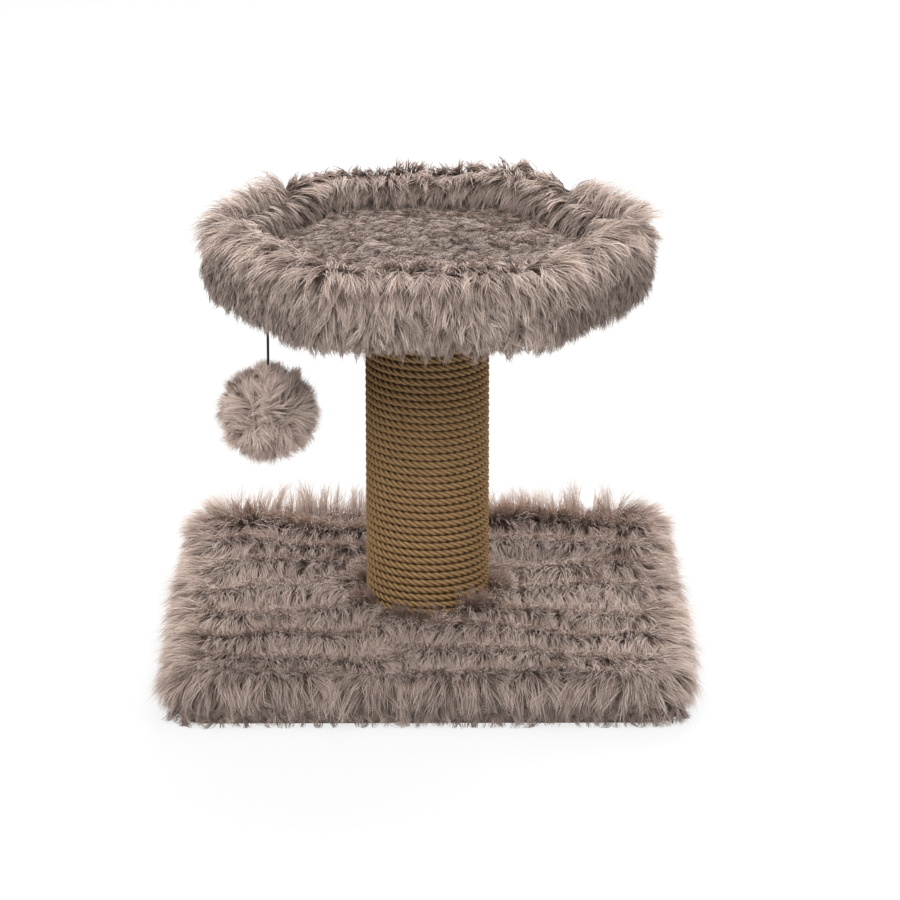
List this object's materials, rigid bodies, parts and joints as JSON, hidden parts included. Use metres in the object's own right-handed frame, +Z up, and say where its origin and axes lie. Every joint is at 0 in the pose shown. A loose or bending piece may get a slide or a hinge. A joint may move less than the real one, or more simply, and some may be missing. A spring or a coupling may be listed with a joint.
{
  "type": "cat scratcher with bed",
  "caption": "Cat scratcher: a plush-covered square base, a rope-wound post, a six-sided padded bed with a loose cushion, and a pompom on a cord under the bed.",
  "frame": {"origin": "centre of the base's underside, on the floor", "axes": "+Z up along the post, -Y towards the front side of the bed, +X to the right seen from the front"},
  "size_m": [0.5, 0.5, 0.425],
  "materials": {
    "plush": "long taupe pile with paler tips",
    "cushion_cloth": "plain woven backing",
    "liner": "black non-woven cloth",
    "particle_board": "raw particle board",
    "plug_wood": "raw softwood",
    "cardboard": "wound kraft board",
    "rope": "three-strand plant fibre rope, golden brown",
    "bolt_steel": "zinc plated",
    "staple_steel": "galvanised wire",
    "foam": "open-cell foam",
    "filling": "polyester fibre",
    "cord": "black braided elastic"
  },
  "bodies": {
    "stand": {"base_plush_cover": "plush", "rim_cover_front": "plush", "rim_cover_front_right": "plush", "rim_cover_back_right": "plush", "rim_cover_back": "plush", "rim_cover_back_left": "plush", "rim_cover_front_left": "plush", "base_underliner": "liner", "bed_underliner": "liner", "base_board": "particle_board", "bed_floor_board": "particle_board", "rim_panel_front": "particle_board", "rim_panel_front_right": "particle_board", "rim_panel_back_right": "particle_board", "rim_panel_back": "particle_board", "rim_panel_back_left": "particle_board", "rim_panel_front_left": "particle_board", "post_lower_plug": "plug_wood", "post_upper_plug": "plug_wood", "post_tube": "cardboard", "post_rope_lower": "rope", "post_rope_upper": "rope", "base_bolt": "bolt_steel", "bed_bolt": "bolt_steel", "base_washer": "bolt_steel", "bed_washer": "bolt_steel", "lower_tee_nut": "bolt_steel", "upper_tee_nut": "bolt_steel", "base_staples": "staple_steel", "bed_staples": "staple_steel", "rope_staples": "staple_steel", "toy_staple": "staple_steel", "rim_screws": "staple_steel", "tube_tacks": "staple_steel", "rim_foam": "foam"},
    "cushion": {"cushion_top_cover": "plush", "cushion_bottom_cover": "cushion_cloth", "cushion_filling": "filling"},
    "toy_loop": {"toy_cord_loop": "cord"},
    "toy": {"toy_knot": "cord", "toy_cord": "cord", "pompom_cover": "plush", "pompom_filling": "filling", "pompom_stop_knot": "cord"}
  },
  "joints": [
    {"name": "cushion_lift", "type": "slide", "parent": "stand", "child": "cushion", "axis": [0, 0, 1], "range_m": [0, 0.15]},
    {"name": "toy_swing_side", "type": "hinge", "parent": "stand", "child": "toy_loop", "pos_m": [-0.14982, -0.04551, 0.355], "axis": [0, 1, 0], "range_deg": [-22, 45]},
    {"name": "toy_swing_front", "type": "hinge", "parent": "toy_loop", "child": "toy", "pos_m": [-0.14982, -0.04551, 0.34855], "axis": [1, 0, 0], "range_deg": [-35, 35]}
  ]
}
